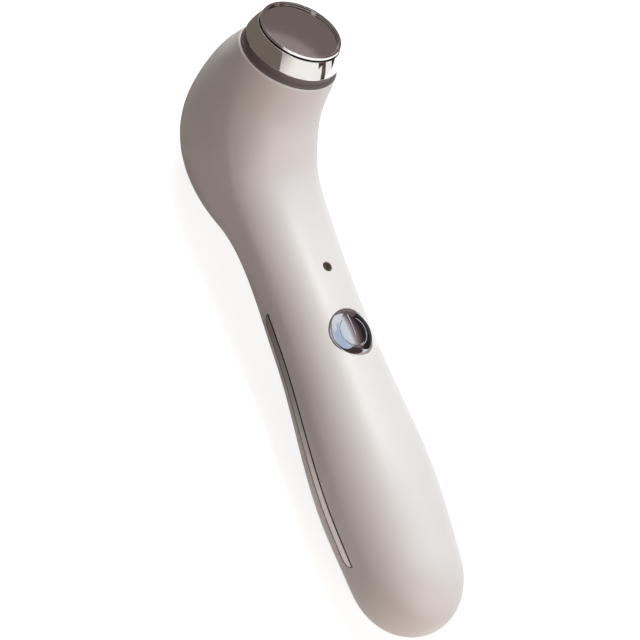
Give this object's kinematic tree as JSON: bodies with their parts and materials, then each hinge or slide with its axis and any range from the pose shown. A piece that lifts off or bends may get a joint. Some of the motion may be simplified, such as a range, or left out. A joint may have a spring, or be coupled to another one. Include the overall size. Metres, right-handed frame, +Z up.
{
  "type": "cooling facial massager",
  "caption": "Hand-held cooling facial massager with a bent neck, polished cold-plate head, side trim strips and a sprung power button.",
  "frame": {"origin": "middle of the footprint, on the surface that the wand lies on", "axes": "The wand lies on its back: +X runs along it from the head to the rounded tail, +Z is up and out of the button side, and Y = 0 is its mirror plane"},
  "size_m": [0.1556, 0.03, 0.0578],
  "materials": {
    "body_plastic": "satin soft-touch paint over plastic, warm light greige",
    "strip_metal": "satin anodised, warm grey",
    "steel": "bright zinc or nickel",
    "ring_metal": "polished",
    "gasket_rubber": "dark grey-brown, matt",
    "plate_metal": "mirror polished",
    "seal_rubber": "black, matt",
    "ceramic": "white fired ceramic",
    "pellet_metal": "dark sintered metal",
    "sink_aluminium": "machined",
    "retainer_brass": "machined",
    "sensor_resin": "black bead",
    "button_chrome": "bright plated dome",
    "black_plastic": "moulded black",
    "lens_plastic": "smoked, clear",
    "led_resin": "pale resin",
    "frame_plastic": "moulded light grey",
    "cell_wrap": "shrink-wrapped blue film",
    "circuit_board": "green solder mask",
    "weight_metal": "sintered heavy metal",
    "lead_red": "red insulation",
    "lead_blue": "blue insulation",
    "lead_black": "black insulation"
  },
  "bodies": {
    "housing": {"front_shell": "body_plastic", "rear_shell": "body_plastic", "left_strip": "strip_metal", "right_strip": "strip_metal", "shell_screws": "steel", "head_ring": "ring_metal", "ring_gasket": "gasket_rubber", "cold_plate": "plate_metal", "plate_seal": "seal_rubber", "cold_ceramic": "ceramic", "pellets": "pellet_metal", "hot_ceramic": "ceramic", "heat_sink": "sink_aluminium", "sink_retainer": "retainer_brass", "temperature_sensor": "sensor_resin", "tact_switch": "black_plastic", "led_lens": "lens_plastic", "status_led": "led_resin", "inner_frame": "frame_plastic", "battery_cell": "cell_wrap", "cell_caps": "steel", "main_board": "circuit_board", "board_chips": "black_plastic", "board_screws": "steel", "charge_board": "circuit_board", "charge_socket": "steel", "socket_tongue": "black_plastic", "motor_can": "steel", "motor_sleeve": "seal_rubber", "plate_leads": "lead_red", "motor_leads": "lead_blue", "battery_leads": "lead_black"},
    "button": {"power_button": "button_chrome", "switch_plunger": "black_plastic"},
    "rotor": {"motor_shaft": "steel", "eccentric_weight": "weight_metal"}
  },
  "joints": [
    {"name": "button_press", "type": "slide", "parent": "housing", "child": "button", "axis": [-0.073, 0, -0.9973], "range_m": [0, 0.0005], "stiffness_N_per_m": 900},
    {"name": "motor_spin", "type": "hinge", "parent": "housing", "child": "rotor", "pos_m": [-0.03555, 0, 0.01846], "axis": [-0.9973, 0, 0.073], "continuous": true}
  ]
}
